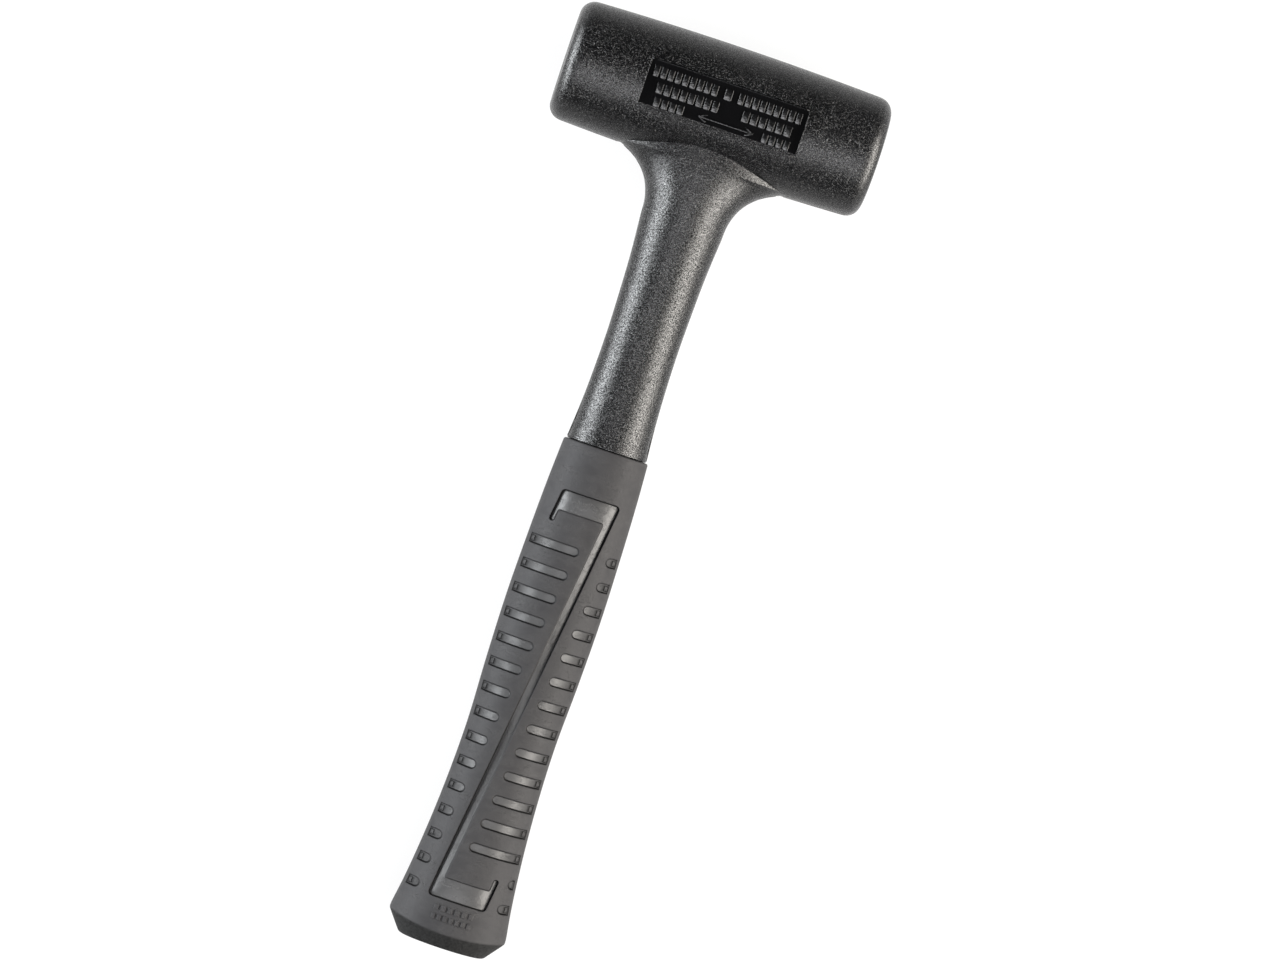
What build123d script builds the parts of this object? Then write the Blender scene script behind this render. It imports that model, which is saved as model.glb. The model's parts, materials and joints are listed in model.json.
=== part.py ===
from build123d import *
import math
import os

# A dead blow mallet lying on its side. All sizes are in millimetres.
# While it is built, the head axis is X, the handle runs towards -Y from the head axis, and Z is
# the mallet's front. "Down" a handle means its distance from the head axis. At the end the whole
# mallet is tipped about X and lifted, so that the head and the butt both rest on Z = 0.

# ---- head barrel
HEAD_LENGTH = 110.2
HEAD_RADIUS = 21.75
HEAD_CROWN = 1.2  # how much smaller the radius is at the faces than at mid-length
HEAD_EDGE_ROUND = 5.0

# ---- recessed panel in the front and the back of the head
PANEL_LENGTH = 55.6
PANEL_HEIGHT = 16.0
PANEL_FLOOR_RADIUS = 19.8  # distance of the flat floor from the head axis

# ---- neck: distance down the handle, half width, half depth, and how much its edges are thinned
NECK_SECTIONS = [
    (20.3, 32.4, 15.95, 0.28),
    (21.7, 27.6, 15.9, 0.26),
    (23.9, 23.3, 15.8, 0.2),
    (26.6, 19.9, 15.6, 0.13),
    (29.3, 17.6, 15.4, 0.07),
    (32.0, 16.1, 15.15, 0.03),
    (36.0, 14.8, 14.7, 0.0),
    (42.8, 14.2, 13.95, 0.0),
    (56.3, 13.2, 12.8, 0.0),
    (70.0, 12.7, 12.0, 0.0),
    (83.3, 12.45, 11.5, 0.0),
    (97.0, 12.65, 11.5, 0.0),
    (108.0, 13.1, 11.8, 0.0),
    (121.3, 14.1, 12.55, 0.0),
]
NECK_ROOT = 13.0  # where the neck starts, inside the barrel
NECK_OUTLINE_POINTS = 24
NECK_END_ROUND = 0.5

# ---- tang: the part of the moulding that the grip covers
TANG_END = 288.0
TANG_HALF_WIDTH = 11.0
TANG_HALF_DEPTH = 9.2
TANG_RIBS = [150.0, 200.0, 250.0]
TANG_RIB_LENGTH = 6.0
TANG_RIB_HEIGHT = 1.2

# ---- grip sleeve: distance down the handle, half width, half depth
GRIP_SECTIONS = [
    (121.45, 14.8, 13.1),
    (134.6, 15.5, 13.3),
    (156.2, 16.2, 13.55),
    (177.8, 16.55, 13.7),
    (199.4, 16.2, 13.4),
    (223.7, 15.45, 13.0),
    (245.3, 16.0, 13.3),
    (264.2, 17.3, 14.1),
    (280.4, 19.05, 15.2),
    (290.8, 20.6, 16.1),
    (297.7, 21.4, 16.6),
]
GRIP_TOP_ROUND = 0.6
BUTT_END = 297.7
BUTT_HALF_WIDTH = 15.0
BUTT_HALF_DEPTH = 12.3
BUTT_TAPER = 0.78  # how much the butt's chamfer narrows for each millimetre down
BUTT_TAPER_START = 286.0
BUTT_LOWEST = 292.6  # where the chamfer starts, under the back of the handle
BUTT_ROUND = 1.2

# ---- finger slots, on both edges of the grip's front and back
SLOT_COUNT = 15
SLOT_FIRST = 156.95
SLOT_PITCH = 8.73
SLOT_HEIGHT = 3.2
SLOT_DEPTH = 1.15
SLOT_WALL_Z = 4.75  # the slots stop this far in front of the plane of the handle
SLOT_REACH = 26.0  # beyond the widest part of the grip
LEFT_SLOT_START = 1.7
RIGHT_SLOT_START = 11.45
SLOT_STEP = 1.11  # each slot starts this much further left than the one above
SHORT_RIGHT_SLOTS = {1: 11.0, 13: 14.8, 14: 13.9}  # cut short to clear the channel

# ---- slanted channel between the two rows of slots, with a cross bar and a hook at each end
CHANNEL_DEPTH = 1.0
CHANNEL_TOP = 138.0
CHANNEL_BOTTOM = 281.4
CHANNEL_SLOPE = 0.1228  # how far it leans to the left for each millimetre down
CHANNEL_BAND_WIDTH = 2.9
CHANNEL_BAR_HEIGHT = 7.2
CHANNEL_BAR_END = 10.0  # where a bar's hooked end starts, from the middle
CHANNEL_HOOK_WIDTH = 1.7
CHANNEL_HOOK_LENGTH = 4.1
CHANNEL_CORNER = 1.35

# ---- steel canister in the head
CANISTER_LENGTH = 88.0
CANISTER_RADIUS = 17.0
CANISTER_WALL = 2.0
CAP_THICKNESS = 2.0

# ---- loose shot in the canister
SHOT_RADIUS = 3.0
SHOT_PITCH = 6.1
SHOT_LAYER_RISE = 5.3
SHOT_BOTTOM_LAYER = -10.3
SHOT_LAYERS = [2, 3, 4, 3]  # rows of balls in each layer, from the lowest
SHOT_PER_ROW = 11

# ---- steel core of the handle
CORE_RADIUS = 7.0
CORE_BORE_RADIUS = 5.0
CORE_END = 280.0
SADDLE_TOP = 12.0
SADDLE_END = 23.0
SADDLE_TOP_RADIUS = 11.5
SADDLE_END_RADIUS = 8.5
PLUG_LENGTH = 9.0
PLUG_FLANGE = 1.6

FIT_GAP = 0.02  # left between pieces that are moulded or pressed onto each other


def down(distance):
    """The plane across the handle at a distance from the head axis, facing the butt."""
    return Plane(origin=(0, -distance, 0), x_dir=(1, 0, 0), z_dir=(0, -1, 0))


def handle_loft(sections, inset=0.0, ruled=False):
    """A solid through elliptical sections across the handle, each smaller by inset."""
    faces = []
    for distance, half_width, half_depth in sections:
        faces.append(down(distance) * Ellipse(half_width - inset, half_depth - inset))
    return loft(faces, ruled=ruled)


def neck_section(distance, half_width, half_depth, thinning):
    """A section across the neck: an ellipse whose two edges are thinned."""
    points = []
    for i in range(NECK_OUTLINE_POINTS):
        angle = 2 * math.pi * i / NECK_OUTLINE_POINTS
        thinned_depth = half_depth * (1 - thinning * math.cos(angle) ** 2)
        points.append((half_width * math.cos(angle), thinned_depth * math.sin(angle)))
    return down(distance) * make_face(Spline(*points, periodic=True))


def handle_prism(start, end, half_width, half_depth):
    """A straight length of elliptical section."""
    return extrude(down(start) * Ellipse(half_width, half_depth), amount=end - start)


def handle_cylinder(start, end, radius):
    """A round length on the handle's axis."""
    return extrude(down(start) * Circle(radius), amount=end - start)


def head_cylinder(length, radius, centre_x=0.0):
    """A round length on the head's axis."""
    return Pos(centre_x, 0, 0) * Rot(0, 90, 0) * Cylinder(radius, length)


def head_barrel():
    """The crowned barrel of the head, with rounded edges to its two faces."""
    half = HEAD_LENGTH / 2
    end_radius = HEAD_RADIUS - HEAD_CROWN
    outline = Curve() + [
        Line((-half, 0), (-half, end_radius)),
        ThreePointArc((-half, end_radius), (0, HEAD_RADIUS), (half, end_radius)),
        Line((half, end_radius), (half, 0)),
        Line((half, 0), (-half, 0)),
    ]
    barrel = revolve(make_face(outline), Axis.X)
    rims = barrel.edges().filter_by(GeomType.CIRCLE).filter_by(
        lambda edge: abs(abs(edge.center().X) - half) < 0.01
    )
    return fillet(rims, HEAD_EDGE_ROUND)


def panel_recesses():
    """The two blocks that cut the flat panels into the front and the back of the head."""
    block_height = HEAD_RADIUS
    blocks = []
    for side in (1, -1):
        centre_z = side * (PANEL_FLOOR_RADIUS + block_height / 2)
        blocks.append(Pos(0, 0, centre_z) * Box(PANEL_LENGTH, PANEL_HEIGHT, block_height))
    return blocks


def tang(grow=0.0):
    """The ribbed tang, made larger all round by grow."""
    shape = handle_prism(
        NECK_SECTIONS[-1][0] - 2.0, TANG_END + grow, TANG_HALF_WIDTH + grow, TANG_HALF_DEPTH + grow
    )
    for centre in TANG_RIBS:
        start = centre - TANG_RIB_LENGTH / 2 - grow
        end = centre + TANG_RIB_LENGTH / 2 + grow
        rise = TANG_RIB_HEIGHT + grow
        shape += handle_prism(start, end, TANG_HALF_WIDTH + rise, TANG_HALF_DEPTH + rise)
    return shape


def canister_space():
    """The room the canister fills in the urethane."""
    return head_cylinder(CANISTER_LENGTH + 2 * FIT_GAP, CANISTER_RADIUS + FIT_GAP)


def saddle_cone(grow=0.0):
    """The outside of the welded collar between canister and core tube."""
    length = SADDLE_END - SADDLE_TOP + grow
    middle = SADDLE_TOP + length / 2
    cone = Cone(SADDLE_TOP_RADIUS + grow, SADDLE_END_RADIUS + grow, length)
    return Pos(0, -middle, 0) * Rot(90, 0, 0) * cone


def urethane_body():
    """The one moulding of the head, the neck and the tang, hollow for the steel inside it."""
    sections = [neck_section(*row) for row in NECK_SECTIONS]
    neck = loft(sections)
    neck_rim = neck.edges().group_by(Axis.Y)[0]
    neck = fillet(neck_rim, NECK_END_ROUND)
    root = extrude(sections[0], amount=NECK_ROOT - NECK_SECTIONS[0][0])
    body = head_barrel() + root + neck + tang()
    for block in panel_recesses():
        body -= block
    body -= canister_space()
    body -= saddle_cone(FIT_GAP)
    body -= handle_cylinder(SADDLE_TOP, CORE_END, CORE_RADIUS + FIT_GAP)
    body -= handle_cylinder(CORE_END - 1.0, CORE_END + PLUG_FLANGE + FIT_GAP, CORE_RADIUS + FIT_GAP)
    return body


def slot_outline(centre_down, inner_x, side):
    """A slot from a round inner end out past the edge of the grip; side is 1 right, -1 left."""
    radius = SLOT_HEIGHT / 2
    middle = inner_x + side * radius
    length = SLOT_REACH - abs(middle)
    if side * middle < 0:
        length = SLOT_REACH + abs(middle)
    straight = Pos(middle + side * length / 2, -centre_down) * Rectangle(length, SLOT_HEIGHT)
    return straight + Pos(middle, -centre_down) * Circle(radius)


def slot_outlines():
    """All the slots of one face of the grip."""
    outlines = []
    for i in range(SLOT_COUNT):
        centre_down = SLOT_FIRST + i * SLOT_PITCH
        outlines.append(slot_outline(centre_down, LEFT_SLOT_START - i * SLOT_STEP, -1))
        right_x = SHORT_RIGHT_SLOTS.get(i, RIGHT_SLOT_START - i * SLOT_STEP)
        outlines.append(slot_outline(centre_down, right_x, 1))
    return outlines


def channel_outline():
    """The channel: half of its corners, and the same ones again after a half turn."""
    middle = (CHANNEL_TOP + CHANNEL_BOTTOM) / 2
    rise = middle - CHANNEL_TOP
    bar_end = rise - CHANNEL_BAR_HEIGHT
    tip = bar_end - CHANNEL_HOOK_LENGTH
    far_edge = CHANNEL_BAND_WIDTH / 2 + CHANNEL_SLOPE * rise
    near_edge = CHANNEL_BAND_WIDTH / 2 - CHANNEL_SLOPE * bar_end
    lean_bar = CHANNEL_SLOPE * CHANNEL_BAR_HEIGHT
    lean_tip = CHANNEL_SLOPE * (CHANNEL_BAR_HEIGHT + CHANNEL_HOOK_LENGTH)
    inner_end = CHANNEL_BAR_END - CHANNEL_HOOK_WIDTH
    half = [
        (-inner_end - lean_bar, bar_end),
        (-inner_end - lean_tip, tip),
        (-CHANNEL_BAR_END - lean_tip, tip),
        (-CHANNEL_BAR_END, rise),
        (far_edge, rise),
        (near_edge, -bar_end),
    ]
    corners = half + [(-x, -y) for x, y in half]
    outline = Pos(0, -middle) * make_face(Polyline(*corners, close=True))
    bar_corners = [v for v in outline.vertices() if abs(abs(v.Y + middle) - rise) < 0.01]
    outline = fillet(bar_corners, CHANNEL_CORNER)
    hook_tips = [v for v in outline.vertices() if abs(abs(v.Y + middle) - tip) < 0.01]
    return fillet(hook_tips, 0.48 * CHANNEL_HOOK_WIDTH)


def pulled(outline, start_z, length):
    """An outline in the plane of the handle, lifted to start_z and pulled towards the front."""
    return extrude(Pos(0, 0, start_z) * outline, amount=length)


def grip_cuts():
    """The solids that cut the slots and the channel into the front of the grip."""
    reach = 30.0
    slot_floor = handle_loft(GRIP_SECTIONS, SLOT_DEPTH)
    channel_floor = handle_loft(GRIP_SECTIONS, CHANNEL_DEPTH)
    slots = [pulled(outline, SLOT_WALL_Z, reach) - slot_floor for outline in slot_outlines()]
    channel = pulled(channel_outline(), SLOT_WALL_Z, reach) - channel_floor
    return slots + [channel]


def butt_waste():
    """The ring of material that the chamfer takes off round the butt."""
    growth = BUTT_TAPER * (BUTT_END - BUTT_TAPER_START)
    start = (BUTT_TAPER_START, BUTT_HALF_WIDTH + growth, BUTT_HALF_DEPTH + growth)
    cone = handle_loft([start, (BUTT_END, BUTT_HALF_WIDTH, BUTT_HALF_DEPTH)], ruled=True)
    cone = fillet(cone.edges().group_by(Axis.Y)[0], BUTT_ROUND)
    return handle_prism(BUTT_TAPER_START, BUTT_END + 1.0, 30.0, 30.0) - cone


def grip_sleeve():
    """The soft sleeve over the tang, with its flared and chamfered butt."""
    sleeve = handle_loft(GRIP_SECTIONS)
    sleeve = fillet(sleeve.edges().group_by(Axis.Y)[-1], GRIP_TOP_ROUND)
    sleeve -= butt_waste()
    sleeve -= tang(FIT_GAP)
    cuts = grip_cuts()
    half_turn = Rot(0, 180, 0)
    sleeve = sleeve - cuts
    return sleeve - [half_turn * cut for cut in cuts]


def canister_tube():
    """The plain steel tube that holds the shot."""
    bore = head_cylinder(CANISTER_LENGTH + 2.0, CANISTER_RADIUS - CANISTER_WALL)
    return head_cylinder(CANISTER_LENGTH, CANISTER_RADIUS) - bore


def canister_cap(side):
    """A disc that closes one end of the canister; side is 1 right, -1 left."""
    radius = CANISTER_RADIUS - CANISTER_WALL - FIT_GAP
    disc = head_cylinder(CAP_THICKNESS, radius, side * (CANISTER_LENGTH / 2 - CAP_THICKNESS / 2))
    outer_rim = disc.edges().filter_by(GeomType.CIRCLE).sort_by(Axis.X)[-1 if side > 0 else 0]
    return chamfer(outer_rim, 0.4)


def shot_charge():
    """Steel balls in rows, stacked in the lower part of the canister."""
    balls = []
    for layer, row_count in enumerate(SHOT_LAYERS):
        z = SHOT_BOTTOM_LAYER + layer * SHOT_LAYER_RISE
        for row in range(row_count):
            y = (row - (row_count - 1) / 2) * SHOT_PITCH
            for i in range(SHOT_PER_ROW):
                x = (i - (SHOT_PER_ROW - 1) / 2) * SHOT_PITCH
                balls.append(Pos(x, y, z) * Sphere(SHOT_RADIUS))
    return balls


def core_tube():
    """The steel tube in the handle, its top end shaped to the canister."""
    tube = handle_cylinder(0, CORE_END, CORE_RADIUS) - handle_cylinder(0, CORE_END, CORE_BORE_RADIUS)
    return tube - canister_space()


def core_saddle():
    """The collar that joins the core tube to the canister."""
    saddle = saddle_cone() - handle_cylinder(0, SADDLE_END + 1.0, CORE_RADIUS + FIT_GAP)
    return saddle - canister_space()


def core_end_plug():
    """The flanged plug that closes the bottom of the core tube."""
    stem = handle_cylinder(CORE_END - PLUG_LENGTH, CORE_END, CORE_BORE_RADIUS - FIT_GAP)
    flange = handle_cylinder(CORE_END + FIT_GAP / 2, CORE_END + PLUG_FLANGE, CORE_RADIUS)
    neck = handle_cylinder(CORE_END - 1.0, CORE_END + 1.0, CORE_BORE_RADIUS - FIT_GAP)
    return stem + neck + flange


def resting_place(body, sleeve):
    """Tips the mallet until the butt is as low as the head, and puts its base's centre at 0.

    The head rests on the ends of its back panel, where the crown has lost a little radius.
    """
    rest_radius = HEAD_RADIUS - HEAD_CROWN * (PANEL_LENGTH / HEAD_LENGTH) ** 2
    butt_depth = sleeve.bounding_box().max.Z
    tip = math.degrees(math.asin((rest_radius - butt_depth) / BUTT_LOWEST))
    tipped = Rot(tip, 0, 0)
    bounds = Compound(children=[tipped * body, tipped * sleeve]).bounding_box()
    lift = Pos(
        -(bounds.min.X + bounds.max.X) / 2, -(bounds.min.Y + bounds.max.Y) / 2, -bounds.min.Z
    )
    return lift * tipped


os.makedirs("parts", exist_ok=True)

body = urethane_body()
sleeve = grip_sleeve()
place = resting_place(body, sleeve)

nodes = {
    "urethane_body": body,
    "grip_sleeve": sleeve,
    "canister_tube": canister_tube(),
    "canister_cap_left": canister_cap(-1),
    "canister_cap_right": canister_cap(1),
    "core_tube": core_tube(),
    "core_saddle": core_saddle(),
    "core_end_plug": core_end_plug(),
}
for name, shape in nodes.items():
    export_step(place * shape, "parts/" + name + ".step")

balls = [place * ball for ball in shot_charge()]
export_step(Compound(children=balls), "parts/shot_charge.step")
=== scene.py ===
import functools
import json
import math

import bmesh
import bpy
import numpy as np
from mathutils import Matrix, Vector
from mathutils.geometry import delaunay_2d_cdt


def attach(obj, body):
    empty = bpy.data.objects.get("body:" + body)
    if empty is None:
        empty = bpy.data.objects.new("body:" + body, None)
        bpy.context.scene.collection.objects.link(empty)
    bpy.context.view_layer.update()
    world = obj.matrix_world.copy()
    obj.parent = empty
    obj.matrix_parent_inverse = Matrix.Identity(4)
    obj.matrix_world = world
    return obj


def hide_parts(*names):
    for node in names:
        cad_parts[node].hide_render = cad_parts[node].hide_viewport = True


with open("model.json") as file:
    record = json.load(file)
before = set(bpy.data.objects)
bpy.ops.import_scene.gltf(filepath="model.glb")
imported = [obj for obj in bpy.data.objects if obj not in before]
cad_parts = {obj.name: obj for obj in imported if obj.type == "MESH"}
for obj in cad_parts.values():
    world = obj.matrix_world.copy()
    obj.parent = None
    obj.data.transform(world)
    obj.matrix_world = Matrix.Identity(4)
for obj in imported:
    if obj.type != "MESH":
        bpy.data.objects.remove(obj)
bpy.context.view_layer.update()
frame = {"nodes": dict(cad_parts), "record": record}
nodes = frame["nodes"]
scene = bpy.context.scene
MM = 0.001

# ---- the mallet's own frame
# The mallet lies on its back. In its own frame X runs along the head, "down" runs from the head
# axis along the handle, and Z comes out of its front. The butt is thinner than the head, so the
# handle slopes a little in the scene.
mounts = {m["name"]: m for m in frame["record"]["mounts"]}
LEFT_FACE = Vector(mounts["strike_face_left"]["pos_m"])
RIGHT_FACE = Vector(mounts["strike_face_right"]["pos_m"])
HEAD_CENTRE = (LEFT_FACE + RIGHT_FACE) / 2
DOWN_AXIS = Vector(mounts["butt_face"]["axis"]).normalized()
SIDE_AXIS = Vector((1, 0, 0))
FRONT_AXIS = SIDE_AXIS.cross(-DOWN_AXIS).normalized()
TIP_ANGLE = -math.atan2(-DOWN_AXIS.z, -DOWN_AXIS.y)


def place(x, down, z):
    """A point of the mallet's own frame, in millimetres, as a point of the scene in metres."""
    return HEAD_CENTRE + MM * (x * SIDE_AXIS + down * DOWN_AXIS + z * FRONT_AXIS)


# ---- sizes, in millimetres
HEAD_HALF_LENGTH = (RIGHT_FACE - LEFT_FACE).length / 2 / MM
HEAD_RADIUS = 21.75
HEAD_CROWN = 1.2
HEAD_EDGE_ROUND = 5.0
PANEL_HALF_LENGTH = 27.8
PANEL_HALF_HEIGHT = 8.0
PANEL_FLOOR = 19.8

# distance down the handle, half width, half depth
NECK_SECTIONS = [
    (21.7, 27.6, 15.9),
    (23.9, 23.3, 15.8),
    (26.6, 19.9, 15.6),
    (29.3, 17.6, 15.4),
    (32.0, 16.1, 15.15),
    (36.0, 14.8, 14.7),
    (42.8, 14.2, 13.95),
    (56.3, 13.2, 12.8),
    (70.0, 12.7, 12.0),
    (83.3, 12.45, 11.5),
    (97.0, 12.65, 11.5),
    (108.0, 13.1, 11.8),
    (121.3, 14.1, 12.55),
]
GRIP_SECTIONS = [
    (121.45, 14.8, 13.1),
    (134.6, 15.5, 13.3),
    (156.2, 16.2, 13.55),
    (177.8, 16.55, 13.7),
    (199.4, 16.2, 13.4),
    (223.7, 15.45, 13.0),
    (245.3, 16.0, 13.3),
    (264.2, 17.3, 14.1),
    (280.4, 19.05, 15.2),
    (290.8, 20.6, 16.1),
    (297.7, 21.4, 16.6),
]
GRIP_TOP = GRIP_SECTIONS[0][0]
GRIP_TOP_ROUND = 0.6
BUTT_END = (297.7, 15.0, 12.3)
BUTT_TAPER = 0.78  # how much the butt's chamfer narrows for each millimetre down
BUTT_SHARPNESS = 0.7  # half the length of the bend where the chamfer starts
BUTT_ROUND = 1.1
HALVINGS = 24  # steps taken to find where the chamfer starts

TANG_HALF_WIDTH = 11.0
TANG_HALF_DEPTH = 9.2
TANG_END = 288.0
TANG_RIBS = [150.0, 200.0, 250.0]
TANG_RIB_LENGTH = 6.0
TANG_RIB_HEIGHT = 1.2
TANG_GAP = 0.03

SLOT_COUNT = 15
SLOT_FIRST = 156.95
SLOT_PITCH = 8.73
SLOT_HEIGHT = 3.2
SLOT_DEPTH = 1.15
SLOT_WALL_Z = 4.75
LEFT_SLOT_START = 1.7
RIGHT_SLOT_START = 11.45
SLOT_STEP = 1.11
SHORT_RIGHT_SLOTS = {1: 11.0, 13: 14.8, 14: 13.9}

CHANNEL_DEPTH = 1.0
CHANNEL_TOP = 138.0
CHANNEL_BOTTOM = 281.4
CHANNEL_SLOPE = 0.1228
CHANNEL_BAND_WIDTH = 2.9
CHANNEL_BAR_HEIGHT = 7.2
CHANNEL_BAR_END = 10.0
CHANNEL_HOOK_WIDTH = 1.7
CHANNEL_HOOK_LENGTH = 4.1
CHANNEL_HOOK_ROUND = 0.46  # the radius at the hook's tip, as a share of its width
CHANNEL_CORNER = 1.35
CHANNEL_INNER_CORNER = 0.55

SLOT_ARC_STEPS = 12
SLOT_STRETCH = 0.4  # how far a slot's outer end moves out, as a share of its outline's offset
SLOT_EDGE_STEP = 1.2
CHANNEL_CORNER_STEPS = 6
CHANNEL_EDGE_STEP = 1.5

SLOT_SHALLOW = 0.55  # how deep a slot is at its upper edge, as a share of its full depth
CHANNEL_SHALLOW = 0.6  # the same at the channel's inner edge
FAINT_WALL_SHADE = 0.3  # how much painted shade a shallow edge gets, as a share of a deep one
CHANNEL_FLAT = 0.3  # the channel's floor stays deep this far from its deep edge,
CHANNEL_REACH = 2.6  # and then rises over this distance
BAND_FADE_START = 0.4  # the band's deep edge fades out along this part of its length
BAND_FADE_LENGTH = 0.3

# the small shelf just inside a slot's outer end
SHELF_EDGE = 0.45
SHELF_WIDTH = 0.95
SHELF_HEIGHT = 1.75
SHELF_RISE = 0.42
# painted shade round the foot of the shelf, where it meets the slot's floor
SHELF_PAINTED_SHADE = 0.9
SHELF_CLEARANCE = 0.2
DEEP_END_GAP = 0.1  # a slot's deep outer end starts this far inside the shelf
SHELF_PROFILE = [(0.12, 0.0), (0.03, 0.3), (-0.06, 0.95), (-0.14, 1.0)]

# how a groove's edge falls away: distance out from its outline, share of its depth, painted shade
EDGE_PROFILE = [
    (0.5, 0.0, 0.0),
    (0.26, 0.0, 0.0),
    (0.13, 0.06, 0.4),
    (0.04, 0.25, 1.0),
    (-0.14, 0.8, 1.0),
    (-0.26, 0.97, 0.9),
    (-0.38, 1.0, 0.2),
    (-0.5, 1.0, 0.0),
]
FRONT_SHARE = 0.972  # how far out from the middle the grooved front reaches, of the half width

MOULD_LINE_RISE = 0.09
MOULD_LINE_HALF_WIDTH = 0.22
MOULD_LINE_SINK = 0.02  # how far it sinks into the head's rounded edges
MARK_RISE = 0.55
# rows of bars in the panel: start, end, distance down, height, number of bars
MARK_ROWS = [
    (-26.4, -3.2, -4.45, 3.9, 9),
    (-1.4, 1.9, -4.45, 3.9, 1),
    (3.5, 26.4, -4.45, 3.9, 9),
    (-23.7, -1.3, 0.75, 3.8, 8),
    (6.5, 24.4, 0.75, 3.8, 6),
    (-23.1, -12.1, 5.5, 3.3, 4),
    (15.0, 25.2, 5.5, 3.3, 4),
]
MARK_GAP = 0.75
MARK_ROUND = 0.3
ARROW_CENTRE = (2.5, 5.4)
ARROW_HALF_LENGTH = 9.3
ARROW_WIDTH = 0.5
ARROW_ROUND = 0.2
BARB_LENGTH = 2.9
BARB_INSET = (1.1, 0.62)
BARB_ANGLE = math.radians(26)
# rows of bars above the butt: distance down, number of bars
BUTT_MARK_ROWS = [(284.4, 6), (287.6, 7)]
BUTT_MARK_WIDTH = 14.6
BUTT_MARK_HEIGHT = 2.0
BUTT_MARK_RISE = 0.28
BUTT_MARK_GAP = 0.8
BUTT_MARK_ROUND = 0.25
BAR_ROUND_LIMIT = 0.9  # a bar's corner radius is at most this share of half its size
BAR_EDGE = 0.14
BAR_EDGE_SHARE = 0.4
BAR_CHAMFER = 0.3
BAR_ROOT = 0.3  # how far a bar reaches into what it stands on
# a ridge's cross section: share of its half width, lift in millimetres (None is its full rise)
RIDGE_SECTION = [(-1, -0.05), (-0.35, None), (0.35, None), (1, -0.05), (0, -0.25)]
RIM_OFFSET = 0.12
RIM_RISE = 0.06
RIM_HALF_WIDTH = 0.13
INSERT_LINE_X = 24.5
INSERT_LINE_RANGE = (8.2, 18.6)
INSERT_LINE_RISE = 0.05
INSERT_LINE_HALF_WIDTH = 0.16
CREASE_END_X = 29.5  # how far out the neck's root reaches on the barrel


def smooth_through(table, column):
    """A smooth curve through one column of a table of sections, as a function of distance down."""
    knots = np.array([row[0] for row in table], float)
    values = np.array([row[column] for row in table], float)
    slopes = np.gradient(values, knots)

    def curve(down):
        """The value at a distance down."""
        down = np.clip(down, knots[0], knots[-1])
        i = np.clip(np.searchsorted(knots, down) - 1, 0, len(knots) - 2)
        gap = knots[i + 1] - knots[i]
        t = (down - knots[i]) / gap
        start = (2 * t**3 - 3 * t**2 + 1) * values[i] + (t**3 - 2 * t**2 + t) * gap * slopes[i]
        end = (3 * t**2 - 2 * t**3) * values[i + 1] + (t**3 - t**2) * gap * slopes[i + 1]
        return start + end

    return curve


grip_width = smooth_through(GRIP_SECTIONS, 1)
grip_depth = smooth_through(GRIP_SECTIONS, 2)
neck_width = smooth_through(NECK_SECTIONS, 1)


def grip_front(x, down, sunk=0.0):
    """How far the front of the grip stands out at a point, sunk in by a depth."""
    share = np.clip(x / (grip_width(down) - sunk), -1, 1)
    return (grip_depth(down) - sunk) * np.sqrt(1 - share**2)


def chamfer_point(down, angle):
    """A point of the cone that the butt's chamfer lies on."""
    growth = BUTT_TAPER * (BUTT_END[0] - down)
    width, depth = BUTT_END[1] + growth, BUTT_END[2] + growth
    return width * math.sin(angle), down, depth * math.cos(angle)


def skin_point(down, angle):
    """A point of the grip's plain surface."""
    width, depth = float(grip_width(down)), float(grip_depth(down))
    return width * math.sin(angle), down, depth * math.cos(angle)


def chamfer_angle(point):
    """The angle round the chamfer's cone at which a point lies."""
    width, down, _ = chamfer_point(point[1], math.pi / 2)
    depth = chamfer_point(down, 0)[2]
    return math.atan2(point[0] / width, point[2] / depth)


def chamfer_start(angle):
    """How far down the chamfer starts, at an angle round the grip, found by halving."""
    low, high = GRIP_SECTIONS[-3][0], BUTT_END[0]
    for _ in range(HALVINGS):
        middle = (low + high) / 2
        point = skin_point(middle, angle)
        edge = chamfer_point(middle, chamfer_angle(point))
        if math.hypot(point[0], point[2]) < math.hypot(edge[0], edge[2]):
            low = middle
        else:
            high = middle
    return low


def slot_end(down):
    """Where a slot stops, short of the grip's edge."""
    return grip_width(down) * np.sqrt(1 - (SLOT_WALL_Z / grip_depth(down)) ** 2)


# ---- outlines of the grooves
def slot_outline(centre, start, side, offset):
    """A slot's outline, moved outwards: from its outer end, round its inner end and back."""
    radius = SLOT_HEIGHT / 2 + offset
    middle = start + side * SLOT_HEIGHT / 2
    edge_steps = max(2, round(abs(side * slot_end(centre) - middle) / SLOT_EDGE_STEP))

    def outer_end(down):
        """Where the outline's outer end is, at a distance down."""
        return side * (slot_end(down) + SLOT_STRETCH * offset)

    def edge(down):
        """Points along an edge of the slot, from its outer end inwards."""
        outer = outer_end(down)
        return [(outer + (middle - outer) * i / edge_steps, down) for i in range(edge_steps)]

    points = edge(centre - radius)
    for i in range(SLOT_ARC_STEPS + 1):
        angle = math.pi * i / SLOT_ARC_STEPS
        points.append((middle - side * radius * math.sin(angle), centre - radius * math.cos(angle)))
    points += edge(centre + radius)[::-1]
    for down in (centre + radius * (1 - 2 * i / 3) for i in (1, 2)):
        points.append((outer_end(down), down))
    return points


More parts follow.
